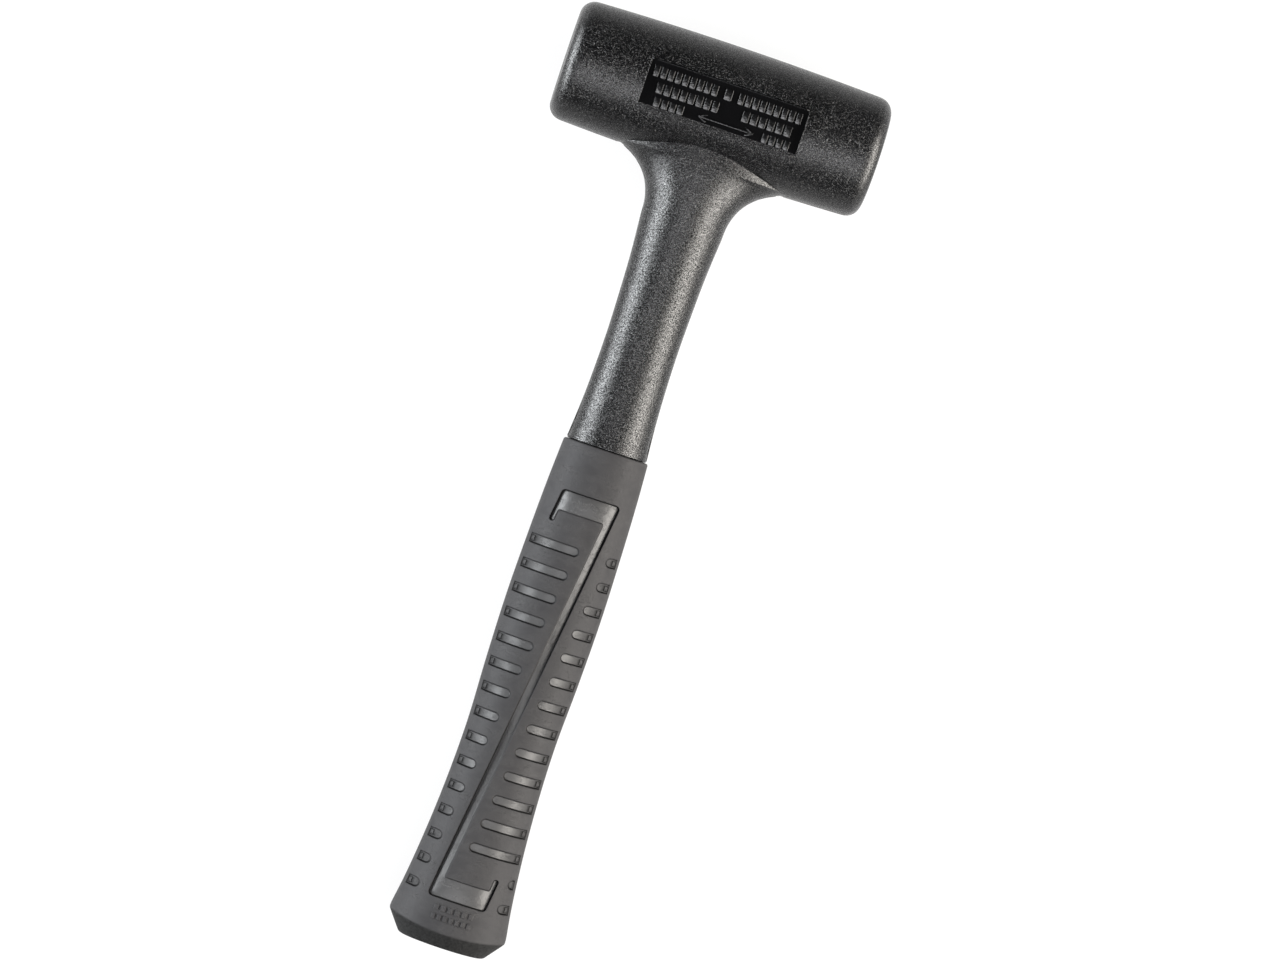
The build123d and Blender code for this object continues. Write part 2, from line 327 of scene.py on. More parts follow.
def shelf_outline(centre, side, offset):
    """The outline of the small shelf just inside a slot's outer end, moved outwards by offset."""
    outer = slot_end(centre) - SHELF_EDGE + offset
    inner = slot_end(centre) - SHELF_EDGE - SHELF_WIDTH - offset
    half = SHELF_HEIGHT / 2 + offset
    corners = [(inner, -half), (outer, -half), (outer, half), (inner, half)]
    points = []
    for (x, down), (next_x, next_down) in zip(corners, corners[1:] + corners[:1], strict=True):
        for k in range(3):
            along, across = (next_x - x) * k / 3, (next_down - down) * k / 3
            points.append((side * (x + along), centre + down + across))
    return points


def has_shelf(centre, start, side):
    """Whether a slot is long enough for its shelf."""
    middle = side * start + SLOT_HEIGHT / 2
    return slot_end(centre) - SHELF_EDGE - SHELF_WIDTH - SHELF_CLEARANCE > middle


def channel_corners():
    """The channel's corners with their radii, as distances right and down from its middle."""
    rise = (CHANNEL_BOTTOM - CHANNEL_TOP) / 2
    bar_end = rise - CHANNEL_BAR_HEIGHT
    tip = bar_end - CHANNEL_HOOK_LENGTH
    far_edge = CHANNEL_BAND_WIDTH / 2 + CHANNEL_SLOPE * rise
    near_edge = CHANNEL_BAND_WIDTH / 2 - CHANNEL_SLOPE * bar_end
    lean_bar = CHANNEL_SLOPE * CHANNEL_BAR_HEIGHT
    lean_tip = CHANNEL_SLOPE * (CHANNEL_BAR_HEIGHT + CHANNEL_HOOK_LENGTH)
    inner_end = CHANNEL_BAR_END - CHANNEL_HOOK_WIDTH
    tip_round = CHANNEL_HOOK_ROUND * CHANNEL_HOOK_WIDTH
    half = [
        (-inner_end - lean_bar, -bar_end, CHANNEL_INNER_CORNER),
        (-inner_end - lean_tip, -tip, tip_round),
        (-CHANNEL_BAR_END - lean_tip, -tip, tip_round),
        (-CHANNEL_BAR_END, -rise, CHANNEL_CORNER),
        (far_edge, -rise, CHANNEL_CORNER),
        (near_edge, bar_end, CHANNEL_INNER_CORNER),
    ]
    return half + [(-x, -y, radius) for x, y, radius in half]


def rounded_outline(corners, offset):
    """Points round a closed outline with rounded corners, moved outwards by offset."""
    count = len(corners)
    arcs = []
    for i, (x, y, radius) in enumerate(corners):
        here = Vector((x, y))
        before = (Vector(corners[i - 1][:2]) - here).normalized()
        after = (Vector(corners[(i + 1) % count][:2]) - here).normalized()
        turn = math.pi - before.angle(after)
        convex = before.x * after.y - before.y * after.x < 0
        reach = radius * math.tan(turn / 2)
        first = here + before * reach
        inwards = Vector((before.y, -before.x)) * (1 if convex else -1)
        centre = first + inwards * radius
        moved = radius + offset if convex else radius - offset
        start = (first - centre).angle_signed(Vector((1, 0)))
        arc = []
        for k in range(CHANNEL_CORNER_STEPS + 1):
            angle = start + (1 if convex else -1) * turn * k / CHANNEL_CORNER_STEPS
            arc.append(centre + moved * Vector((math.cos(angle), math.sin(angle))))
        arcs.append(arc)
    points = []
    for i, arc in enumerate(arcs):
        points += arc
        end, start = arc[-1], arcs[(i + 1) % count][0]
        steps = max(1, round((start - end).length / CHANNEL_EDGE_STEP))
        points += [end.lerp(start, k / steps) for k in range(1, steps)]
    return points


def channel_outline(offset):
    """The channel's outline on the grip, moved outwards by offset."""
    middle = (CHANNEL_TOP + CHANNEL_BOTTOM) / 2
    return [(p.x, middle + p.y) for p in rounded_outline(channel_corners(), offset)]


def distance_to_edge(point, start, end):
    """How far a point is from a straight edge, and how far along the edge that is, from 0 to 1."""
    along = end - start
    share = min(max((point - start).dot(along) / along.length_squared, 0.0), 1.0)
    return (point - start - share * along).length, share


def channel_deepness(x, down):
    """1 at the channel's deep outer edge, 0 at its shallow inner edge."""
    corners = [Vector(corner[:2]) for corner in channel_corners()]
    middle = (CHANNEL_TOP + CHANNEL_BOTTOM) / 2
    deepest = 0.0
    for way in (1, -1):
        point = Vector((x, down - middle)) * way
        for start, end, fades in ((2, 3, False), (3, 4, False), (4, 5, True)):
            distance, share = distance_to_edge(point, corners[start], corners[end])
            faded = min(max((share - BAND_FADE_START) / BAND_FADE_LENGTH, 0.0), 1.0)
            strength = 1 - faded if fades else 1.0
            near = max(0.0, 1 - max(0.0, distance - CHANNEL_FLAT) / CHANNEL_REACH)
            deepest = max(deepest, strength * near)
    return deepest


def slot_list():
    """Every slot in the front of the grip: how far down it is, where it starts, and its side."""
    slots = []
    for i in range(SLOT_COUNT):
        centre = SLOT_FIRST + i * SLOT_PITCH
        slots.append((centre, LEFT_SLOT_START - i * SLOT_STEP, -1))
        right_start = SHORT_RIGHT_SLOTS.get(i, RIGHT_SLOT_START - i * SLOT_STEP)
        slots.append((centre, right_start, 1))
    return slots


def slot_deepness(centre):
    """1 at a slot's lower edge and at its outer end, 0 at its upper edge."""
    end_zone = slot_end(centre) - SHELF_EDGE - SHELF_WIDTH - DEEP_END_GAP

    def deepness(x, down):
        """The deepness at a point of the slot."""
        across = (down - centre) / SLOT_HEIGHT + 0.5
        return min(max(across, abs(x) - end_zone, 0.0), 1.0)

    return deepness


def grooves():
    """Every groove in the front: its outline at an offset, its deepness at a point, its depth,
    the share of that depth at its shallow edge, and whether its outer end stops at a wall."""
    found = [(channel_outline, channel_deepness, CHANNEL_DEPTH, CHANNEL_SHALLOW, False)]
    for centre, start, side in slot_list():
        outline = functools.partial(slot_outline, centre, start, side)
        found.append((outline, slot_deepness(centre), SLOT_DEPTH, SLOT_SHALLOW, True))
    return found


def inside(points, outline):
    """Which points lie inside a closed outline."""
    points = np.asarray(points, float)
    a = np.asarray(outline, float)
    b = np.roll(a, -1, axis=0)
    result = np.zeros(len(points), bool)
    for (ax, ay), (bx, by) in zip(a, b, strict=True):
        crosses = (ay > points[:, 1]) != (by > points[:, 1])
        if ay != by:
            edge_x = (bx - ax) * (points[:, 1] - ay) / (by - ay) + ax
            result ^= crosses & (points[:, 0] < edge_x)
    return result


# ---- the grip's skin
GRIP_ROW = 1.2
GRIP_COLUMNS = 38
SIDE_COLUMNS = 7
SIDE_CROWDING = 0.6  # how much the side's columns crowd towards the mould line
GROOVE_MARGIN = 0.75  # the plain grid keeps this far from a groove's edge
SHELF_MARGIN = 0.5
FLAT_HALF_WIDTH = 16.0  # the front is triangulated as a strip of this half width
MERGE_DISTANCE = 1e-5
BORDER_TOLERANCE = 2e-4
LIP_STEPS = 4
PLAIN = (0.0, 0.0, False, 0.0, 0.0)  # the relief of a point outside every groove
CROSSING = (SLOT_DEPTH, 0.5, True, 0.0, 1.0)  # and of a point where two outlines cross


def grip_rows():
    """The distances down at which the grip's skin has a row of points."""
    first = GRIP_TOP + GRIP_TOP_ROUND
    last = chamfer_start(math.pi / 2) - 2 * BUTT_SHARPNESS
    return np.linspace(first, last, round((last - first) / GRIP_ROW) + 1)


def floor_depth(deepness, full_depth, shallow, point):
    """How deep a groove's floor is at a point."""
    return full_depth * (shallow + (1 - shallow) * deepness(*point))


def groove_rings():
    """The rings of points round every groove and shelf, each with its points' relief.

    A point's relief is its groove's depth there, its share of that depth, whether the groove
    stops at a wall, its share of the shelf's height, and the painted shade in its colour."""
    rings = []
    for outline, deepness, full_depth, shallow, has_wall in grooves():
        for offset, share, wall_shade in EDGE_PROFILE:
            ring, relief = outline(offset), []
            for point in ring:
                depth = floor_depth(deepness, full_depth, shallow, point)
                # painted shade on the groove's wall: strong at its deep edge, faint at its shallow
                # one
                dark = wall_shade * (FAINT_WALL_SHADE + (1 - FAINT_WALL_SHADE) * deepness(*point))
                relief.append((depth, share, has_wall, 0.0, dark))
            rings.append((ring, relief))
    for centre, start, side in slot_list():
        if not has_shelf(centre, start, side):
            continue
        deepness = slot_deepness(centre)
        for offset, share in SHELF_PROFILE:
            ring = shelf_outline(centre, side, offset)
            # painted shade round the shelf's foot
            dark = SHELF_PAINTED_SHADE if share < 0.5 else 0.0
            relief = []
            for point in ring:
                depth = floor_depth(deepness, SLOT_DEPTH, SLOT_SHALLOW, point)
                relief.append((depth, 1.0, True, share, dark))
            rings.append((ring, relief))
    return rings


def plain_grid(rows, shares):
    """The grid between the grooves' edges: its points, their relief, and which of them to keep."""
    grid = [(share * float(grip_width(down)), down) for down in rows for share in shares]
    relief = [PLAIN] * len(grid)
    keep = np.ones(len(grid), bool)
    for outline, deepness, full_depth, shallow, has_wall in grooves():
        well_in = inside(grid, outline(-GROOVE_MARGIN))
        keep &= ~inside(grid, outline(GROOVE_MARGIN)) | well_in
        for i in np.flatnonzero(well_in):
            depth = floor_depth(deepness, full_depth, shallow, grid[i])
            relief[i] = (depth, 1.0, has_wall, 0.0, 0.0)
    for centre, start, side in slot_list():
        if has_shelf(centre, start, side):
            keep &= ~inside(grid, shelf_outline(centre, side, SHELF_MARGIN))
    border = np.zeros((len(rows), len(shares)), bool)
    border[0, :] = border[-1, :] = border[:, 0] = border[:, -1] = True
    return grid, relief, keep | border.ravel()


def front_patch():
    """The grooved front: points, each with how sunk it is and its painted shade, and triangles."""
    rows = grip_rows()
    reach = math.asin(FRONT_SHARE)
    shares = np.sin(np.linspace(-reach, reach, GRIP_COLUMNS))
    shares[0], shares[-1] = -FRONT_SHARE, FRONT_SHARE
    flat, relief, edges = [], [], []
    for ring, ring_relief in groove_rings():
        first = len(flat)
        flat += ring
        relief += ring_relief
        edges += [(first + i, first + (i + 1) % len(ring)) for i in range(len(ring))]
    grid, grid_relief, keep = plain_grid(rows, shares)
    number = {}
    for i in np.flatnonzero(keep):
        number[i] = len(flat)
        flat.append(grid[i])
        relief.append(grid_relief[i])
    columns = len(shares)
    for r in range(len(rows) - 1):
        for c in (0, columns - 1):
            edges.append((number[r * columns + c], number[(r + 1) * columns + c]))
    for r in (0, len(rows) - 1):
        for c in range(columns - 1):
            edges.append((number[r * columns + c], number[r * columns + c + 1]))
    domain = [Vector((x / float(grip_width(down)) * FLAT_HALF_WIDTH, down)) for x, down in flat]
    made, _, faces, came_from, _, _ = delaunay_2d_cdt(domain, edges, [], 0, MERGE_DISTANCE)
    points = []
    for position, sources in zip(made, came_from, strict=True):
        down = position.y
        x = position.x / FLAT_HALF_WIDTH * float(grip_width(down))
        depth, share, has_wall, shelf, dark = relief[sources[0]] if sources else CROSSING
        top = float(grip_front(x, down))
        bottom = float(grip_front(x, down, depth))
        if has_wall:
            bottom = max(bottom, SLOT_WALL_Z)
        z = top + (min(bottom, top) - top) * share + SHELF_RISE * shelf
        points.append(((x, down, min(z, top)), share, dark))
    return points, faces


def ring_faces(bm, first, second):
    """Faces between two closed rings with the same number of points."""
    count = len(first)
    for i in range(count):
        j = (i + 1) % count
        bm.faces.new((first[i], first[j], second[j], second[i]))


BEND_STEPS = 4


def rounded_corner(start, corner, end):
    """Sections along a smooth bend that starts and ends on the two sides of a corner."""
    made = []
    for i in range(BEND_STEPS + 1):
        t = i / BEND_STEPS
        made.append(tuple(
            (1 - t) ** 2 * a + 2 * t * (1 - t) * b + t**2 * c
            for a, b, c in zip(start, corner, end, strict=True)
        ))
    return made


def between(a, b, t):
    """The section a share t of the way from section a to section b."""
    return tuple(p + (q - p) * t for p, q in zip(a, b, strict=True))


def tang_rows():
    """The sections of the bore in the grip, which fits the ribbed tang."""
    width, depth = TANG_HALF_WIDTH + TANG_GAP, TANG_HALF_DEPTH + TANG_GAP
    rows = [(GRIP_TOP, width, depth)]
    for centre in TANG_RIBS:
        half = TANG_RIB_LENGTH / 2 + TANG_GAP
        raised = (width + TANG_RIB_HEIGHT, depth + TANG_RIB_HEIGHT)
        rows += [(centre - half, width, depth), (centre - half, *raised)]
        rows += [(centre + half, *raised), (centre + half, width, depth)]
    return rows + [(TANG_END + TANG_GAP, width, depth)]


def grip_mesh():
    """The whole sleeve: grooved front and back, edges with their mould line, lip, butt and bore."""
    points, faces = front_patch()
    bm = bmesh.new()
    sunk_layer = bm.verts.layers.float.new("groove")
    # the "wall" layer holds painted shade: how far the colour is darkened in the grooves' walls
    wall_shade_layer = bm.verts.layers.float.new("wall")
    butt_layer = bm.verts.layers.float.new("butt")
    patches = []
    for way in (1, -1):
        verts = []
        for (x, down, z), share, dark in points:
            vert = bm.verts.new((way * x, down, way * z))
            vert[sunk_layer] = share
            vert[wall_shade_layer] = dark
            verts.append(vert)
        for face in faces:
            bm.faces.new([verts[i] for i in face])
        patches.append(verts)

    def border(verts, side):
        """The points along one side of the grooved front or back, in order."""
        found = []
        for vert in verts:
            off = abs(abs(vert.co.x) / grip_width(vert.co.y) - FRONT_SHARE)
            if vert.co.x * side > 0 and off < BORDER_TOLERANCE:
                found.append(vert)
        return sorted(found, key=lambda v: v.co.y)

    reach = math.asin(FRONT_SHARE)
    for side in (1, -1):
        columns = [border(patches[0], side)]
        for k in range(1, SIDE_COLUMNS + 1):
            t = 2 * k / (SIDE_COLUMNS + 1) - 1
            bend = t * abs(t) ** SIDE_CROWDING
            angle = math.pi / 2 + bend * (math.pi / 2 - reach)
            flash = MOULD_LINE_RISE if k == (SIDE_COLUMNS + 1) // 2 else 0.0
            column = []
            for vert in columns[0]:
                down = vert.co.y
                width, depth = float(grip_width(down)) + flash, float(grip_depth(down))
                point = (side * width * math.sin(angle), down, depth * math.cos(angle))
                column.append(bm.verts.new(point))
            columns.append(column)
        columns.append(border(patches[1], side))
        for a, b in zip(columns, columns[1:]):
            for i in range(len(a) - 1):
                bm.faces.new((a[i], a[i + 1], b[i + 1], b[i]))

    bm.edges.ensure_lookup_table()
    rows = grip_rows()
    lip, foot = (ordered_border(bm, row) for row in (rows[0], rows[-1]))

    round_start = (rows[0], float(grip_width(rows[0])), float(grip_depth(rows[0])))
    lip_sections = []
    for i in range(1, LIP_STEPS + 1):
        angle = math.pi / 2 * i / LIP_STEPS
        inset = GRIP_TOP_ROUND * (1 - math.cos(angle))
        down = rows[0] - GRIP_TOP_ROUND * math.sin(angle)
        lip_sections.append((down, round_start[1] - inset, round_start[2] - inset))
    last = add_sections(bm, lip, lip_sections + tang_rows(), round_start)
    bm.faces.new(last)

    profiles = [butt_profile(skin_angle(vert.co)) for vert in foot]
    for row in zip(*profiles, strict=True):
        ring = []
        for point, share in row:
            vert = bm.verts.new(point)
            vert[butt_layer] = share
            ring.append(vert)
        ring_faces(bm, foot, ring)
        foot = ring
    bm.faces.new(foot)
    return bm


def skin_angle(point):
    """The angle round the grip at which a point of its surface lies."""
    width, depth = float(grip_width(point[1])), float(grip_depth(point[1]))
    return math.atan2(point[0] / width, point[2] / depth)


def butt_profile(angle):
    """From the grip's last row over the chamfer to the flat end: points, and shares of the butt."""
    start = chamfer_start(angle)
    corner = skin_point(start, angle)
    turn = chamfer_angle(corner)
    bend_top, bend_foot = start - BUTT_SHARPNESS, start + BUTT_SHARPNESS
    bend = (skin_point(bend_top, angle), corner, chamfer_point(bend_foot, turn))
    end = chamfer_point(BUTT_END[0], turn)
    width_left, depth_left = 1 - BUTT_ROUND / BUTT_END[1], 1 - BUTT_ROUND / BUTT_END[2]
    flat = (end[0] * width_left, end[1], end[2] * depth_left)
    last_row = grip_rows()[-1]
    profile = []
    for t in (0.5, 0.8):
        profile.append((skin_point(last_row + (bend_top - last_row) * t, angle), 0.0))
    profile += [(point, i / BEND_STEPS) for i, point in enumerate(rounded_corner(*bend))]
    last_bend = (chamfer_point(BUTT_END[0] - BUTT_SHARPNESS, turn), end, flat)
    profile += [(between(bend[2], last_bend[0], t), 1.0) for t in (0.25, 0.5, 0.75)]
    profile += [(point, 1.0) for point in rounded_corner(*last_bend)]
    return profile + [((flat[0] * t, flat[1], flat[2] * t), 1.0) for t in (0.7, 0.35)]


def ordered_border(bm, down):
    """The ring of points on the open border at a distance down, in order."""
    open_edges = [
        e for e in bm.edges
        if len(e.link_faces) == 1 and all(abs(v.co.y - down) < 1e-3 for v in e.verts)
    ]
    onward = {}
    for e in open_edges:
        for v in e.verts:
            onward.setdefault(v, []).append(e.other_vert(v))
    start = open_edges[0].verts[0]
    ring, before = [start], None
    while True:
        options = [v for v in onward[ring[-1]] if v != before]
        before = ring[-1]
        if options[0] == start:
            return ring
        ring.append(options[0])


def add_sections(bm, ring, sections, ring_section):
    """Rows of faces from an open ring through further oval sections; returns the last ring."""
    angles = [math.atan2(v.co.x / ring_section[1], v.co.z / ring_section[2]) for v in ring]
    for down, width, depth in sections:
        points = [(width * math.sin(a), down, depth * math.cos(a)) for a in angles]
        new_ring = [bm.verts.new(point) for point in points]
        ring_faces(bm, ring, new_ring)
        ring = new_ring
    return ring


def new_object(name, data):
    """A new object in the scene."""
    made = bpy.data.objects.new(name, data)
    scene.collection.objects.link(made)
    return made


def mesh_object(bm, name, material):
    """A new object in the scene from a mesh."""
    mesh = bpy.data.meshes.new(name)
    bm.to_mesh(mesh)
    bm.free()
    mesh.materials.append(material)
    return new_object(name, mesh)


def finish_piece(bm, name, material):
    """Makes a piece from a mesh in the mallet's own frame and lets it ride on the mallet."""
    for vert in bm.verts:
        vert.co = place(*vert.co)
    bmesh.ops.recalc_face_normals(bm, faces=bm.faces)
    piece = mesh_object(bm, name, material)
    piece.data.shade_smooth()
    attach(piece, "mallet")
    return piece


# ---- raised marks and mould lines
def raised_bar(bm, centre, size, rise, ground, corner, angle=0.0):
    """A low bar with rounded corners and a softened top edge, standing on a surface."""
    half_x, half_y = size[0] / 2, size[1] / 2
    radius = min(corner, half_x * BAR_ROUND_LIMIT, half_y * BAR_ROUND_LIMIT)
    turn = Matrix.Rotation(angle, 2)
    outline = []
    for quarter, (sx, sy) in enumerate(((1, 1), (-1, 1), (-1, -1), (1, -1))):
        middle = (sx * (half_x - radius), sy * (half_y - radius))
        for k in range(4):
            bend = math.pi / 2 * (quarter + k / 3)
            outline.append((*middle, math.cos(bend), math.sin(bend)))
    edge = min(BAR_EDGE, BAR_EDGE_SHARE * radius)
    chamfer = BAR_CHAMFER * edge
    rings = []
    for inset, lift in ((0, -BAR_ROOT), (0, rise - edge), (chamfer, rise - chamfer), (edge, rise)):
        ring = []
        for cx, cy, dx, dy in outline:
            local = turn @ Vector((cx + dx * (radius - inset), cy + dy * (radius - inset)))
            x, down = centre[0] + local.x, centre[1] + local.y
            ring.append(bm.verts.new((x, down, float(ground(x, down)) + lift)))
        rings.append(ring)
    for a, b in zip(rings, rings[1:]):
        ring_faces(bm, a, b)
    bm.faces.new(rings[-1])
    bm.faces.new(rings[0])


def panel_floor(x, down):
    """How far the panel's flat floor stands out."""
    return PANEL_FLOOR


def panel_marks():
    """Plain bars in three rows and a double arrow, raised from the panel's floor."""
    bm = bmesh.new()
    for start, end, down, height, count in MARK_ROWS:
        pitch = (end - start) / count
        for i in range(count):
            centre = (start + (i + 0.5) * pitch, down)
            raised_bar(bm, centre, (pitch - MARK_GAP, height), MARK_RISE, panel_floor, MARK_ROUND)
    shaft = (2 * ARROW_HALF_LENGTH, ARROW_WIDTH)
    raised_bar(bm, ARROW_CENTRE, shaft, MARK_RISE, panel_floor, ARROW_ROUND)
    for side in (-1, 1):
        for way in (-1, 1):
            x = ARROW_CENTRE[0] + side * (ARROW_HALF_LENGTH - BARB_INSET[0])
            centre = (x, ARROW_CENTRE[1] + way * BARB_INSET[1])
            barb, angle = (BARB_LENGTH, ARROW_WIDTH), -side * way * BARB_ANGLE
            raised_bar(bm, centre, barb, MARK_RISE, panel_floor, ARROW_ROUND, angle)
    return bm


def butt_marks():
    """Two rows of small plain bars, raised from the grip above the butt."""
    bm = bmesh.new()
    for down, count in BUTT_MARK_ROWS:
        pitch = BUTT_MARK_WIDTH / count
        size = (pitch - BUTT_MARK_GAP, BUTT_MARK_HEIGHT)
        for i in range(count):
            centre = (-BUTT_MARK_WIDTH / 2 + (i + 0.5) * pitch, down)
            raised_bar(bm, centre, size, BUTT_MARK_RISE, grip_front, BUTT_MARK_ROUND)
    return bm


def ridge(bm, path, normals, side, rise, half_width):
    """A low ridge along a path on a surface."""
    rows = []
    for point, normal in zip(path, normals, strict=True):
        row = []
        for across, lift in RIDGE_SECTION:
            lifted = Vector(normal) * (rise if lift is None else lift)
            row.append(bm.verts.new(Vector(point) + side * across * half_width + lifted))
        rows.append(row)
    for a, b in zip(rows, rows[1:]):
        ring_faces(bm, a, b)
    bm.faces.new(rows[0])
    bm.faces.new(rows[-1])


def head_radius(x):
    """The barrel's radius at a distance from mid-length."""
    return HEAD_RADIUS - HEAD_CROWN * (x / HEAD_HALF_LENGTH) ** 2


def with_normals(path, outwards):
    """The outward normals of a path that lies in the plane of the handle."""
    normals = []
    for i in range(len(path)):
        a, b = Vector(path[max(i - 1, 0)]), Vector(path[min(i + 1, len(path) - 1)])
        along = (b - a).normalized()
        normals.append(Vector((along.y, -along.x, 0)) * outwards)
    return normals


def panel_rims():
    """The slightly raised rim round each panel, on the barrel's surface."""
    bm = bmesh.new()
    half_x, half_y = PANEL_HALF_LENGTH + RIM_OFFSET, PANEL_HALF_HEIGHT + RIM_OFFSET
    corners = [(-half_x, -half_y), (half_x, -half_y), (half_x, half_y), (-half_x, half_y)]
    for way in (1, -1):
        for (x, y), (next_x, next_y) in zip(corners, corners[1:] + corners[:1], strict=True):
            side = Vector((0, 1, 0)) if y == next_y else Vector((1, 0, 0))
            path, normals = [], []
            for t in np.linspace(0, 1, 25):
                px, py = x + (next_x - x) * t, y + (next_y - y) * t
                pz = math.sqrt(head_radius(px) ** 2 - py**2)
                path.append((px, py, way * pz))
                normals.append(Vector((0, py, way * pz)).normalized())
            ridge(bm, path, normals, side, RIM_RISE, RIM_HALF_WIDTH)
    return bm


def mould_lines():
    """The thin lines left by the mould: along both sides of head and neck, and beside the panel."""
    bm = bmesh.new()
    across = Vector((0, 0, 1))
    flat_end = HEAD_HALF_LENGTH - HEAD_EDGE_ROUND
    end_radius = head_radius(flat_end) - MOULD_LINE_SINK
    for side in (-1, 1):
        path = [(side * x, -head_radius(x), 0) for x in np.linspace(0, flat_end, 24)]
        for way in (-1, 1):
            corner = []
            for k in range(1, 9):
                angle = math.pi / 2 * k / 8
                x = flat_end + HEAD_EDGE_ROUND * math.sin(angle)
                down = end_radius - HEAD_EDGE_ROUND * (1 - math.cos(angle))
                corner.append((side * x, way * down, 0))
            path += corner if way < 0 else corner[::-1]
        path += [(side * x, head_radius(x), 0) for x in np.linspace(flat_end, CREASE_END_X, 14)]
        ridge(bm, path, with_normals(path, side), across, MOULD_LINE_RISE, MOULD_LINE_HALF_WIDTH)
        downs = np.linspace(NECK_SECTIONS[0][0] + 0.3, NECK_SECTIONS[-1][0] - 0.6, 70)
        path = [(side * float(neck_width(down)), down, 0) for down in downs]
        ridge(bm, path, with_normals(path, side), across, MOULD_LINE_RISE, MOULD_LINE_HALF_WIDTH)
    radius = head_radius(INSERT_LINE_X)
    first, last = (math.asin(down / radius) for down in INSERT_LINE_RANGE)
    for way in (1, -1):
        path, normals = [], []
        for angle in np.linspace(first, last, 14):
            down, out = math.sin(angle), way * math.cos(angle)
            path.append((way * INSERT_LINE_X, radius * down, radius * out))
            normals.append(Vector((0, down, out)))
        ridge(bm, path, normals, Vector((1, 0, 0)), INSERT_LINE_RISE, INSERT_LINE_HALF_WIDTH)
    return bm


# ---- materials
def feed(tree, socket, value):
    """Gives a socket a plain value, or links another socket to it."""
    if isinstance(value, bpy.types.NodeSocket):
        tree.links.new(value, socket)
    elif socket.type == "RGBA":
        socket.default_value = (*value, 1)
    else:
        socket.default_value = value


def new_node(tree, kind, values, **settings):
    """A new shader node, with its settings and what its inputs are fed."""
    node = tree.nodes.new("ShaderNode" + kind)
    for name, value in settings.items():
        setattr(node, name, value)
    for name, value in values.items():
        feed(tree, node.inputs[name], value)
    return node


def plain_material(name):
    """A new material, with its node tree and its shader."""
    material = bpy.data.materials.new(name)
    material.use_nodes = True
    return material, material.node_tree, material.node_tree.nodes["Principled BSDF"]


def new_material(name):
    """The same, with texture coordinates in the mallet's own frame."""
    material, tree, shader = plain_material(name)
    scene_point = new_node(tree, "TexCoord", {}).outputs["Object"]
    frame_place = {"Vector": scene_point, "Location": HEAD_CENTRE, "Rotation": (TIP_ANGLE, 0, 0)}
    mapping = new_node(tree, "Mapping", frame_place, vector_type="TEXTURE")
    return material, tree, shader, mapping.outputs["Vector"]


def noise(tree, vector, size, detail=2.0, roughness=0.5, distortion=0.0, stretch=None):
    """Noise whose features are about so many millimetres across."""
    if stretch is not None:
        scaled = new_node(tree, "VectorMath", {0: vector, 1: stretch}, operation="MULTIPLY")
        vector = scaled.outputs[0]
    values = {"Vector": vector, "Scale": 1 / (size * MM), "Detail": detail}
    values |= {"Roughness": roughness, "Distortion": distortion}
    return new_node(tree, "TexNoise", values).outputs["Fac"]


def spread(tree, value, low=0, high=1, from_low=0.3, from_high=0.7):
    """A value stretched from one range onto another."""
    values = {"Value": value, "From Min": from_low, "From Max": from_high}
    values |= {"To Min": low, "To Max": high}
    return new_node(tree, "MapRange", values).outputs["Result"]


def mixed(tree, share, first, second, kind="FLOAT"):
    """A number or a colour between two, by a share; each is a plain value or a socket."""
    values = {"Factor": share, "A": first, "B": second}
    return new_node(tree, "Mix", values, data_type=kind).outputs["Result"]


def math_node(tree, operation, first, second=0.0):
    """The result of one sum; each number is a plain value or a socket."""
    return new_node(tree, "Math", {0: first, 1: second}, operation=operation).outputs[0]


def distance_along(tree, vector, axis):
    """How far a point is from the middle along one axis, without its sign."""
    parts = new_node(tree, "SeparateXYZ", {0: vector})
    return math_node(tree, "ABSOLUTE", parts.outputs[axis])


def bumped(tree, height, distance, strength=1.0, normal=None):
    """A normal roughened by a height from 0 to 1, which stands for so many millimetres."""
    values = {"Height": height, "Strength": strength, "Distance": distance * MM}
    if normal is not None:
        values["Normal"] = normal
    return new_node(tree, "Bump", values).outputs["Normal"]


def attribute(tree, name):
    """A number that is kept at the mesh's points."""
    return new_node(tree, "Attribute", {}, attribute_name=name).outputs["Fac"]


def connect(tree, shader, colour, roughness, normal):
    """Links what varies over every surface to the shader."""
    for name, socket in (("Base Color", colour), ("Roughness", roughness), ("Normal", normal)):
        tree.links.new(socket, shader.inputs[name])


def urethane_material():
    """Hard black urethane with a spark-eroded grain, and a bare polished floor in the panels."""
    material, tree, shader, vector = new_material("urethane_black")
    length = (PANEL_HALF_LENGTH - 0.1) * MM
    height = (PANEL_HALF_HEIGHT - 0.05) * MM
    in_length = math_node(tree, "LESS_THAN", distance_along(tree, vector, "X"), length)
    in_height = math_node(tree, "LESS_THAN", distance_along(tree, vector, "Y"), height)
    panel = math_node(tree, "MULTIPLY", in_length, in_height)
    grain = noise(tree, vector, 0.36, roughness=0.7)
    pits = spread(tree, noise(tree, vector, 0.5, 1.0, 0.6), from_low=0.56, from_high=0.68)
    broad = spread(tree, noise(tree, vector, 22.0))
    colour = mixed(tree, broad, (0.0007, 0.0007, 0.0008), (0.0013, 0.0013, 0.0015), "RGBA")
    rough = mixed(tree, panel, spread(tree, grain, 0.2, 0.3), 0.13)
    normal = bumped(tree, mixed(tree, panel, grain, 0.5), 0.1)
    normal = bumped(tree, mixed(tree, panel, pits, 0.0), 0.08, normal=normal)
    connect(tree, shader, colour, rough, normal)
    gloss = mixed(tree, panel, spread(tree, grain, 0.04, 0.56, 0.38, 0.62), 0.3)
    shader.inputs["Specular IOR Level"].default_value = 0.3
    tree.links.new(gloss, shader.inputs["Specular IOR Level"])
    return material


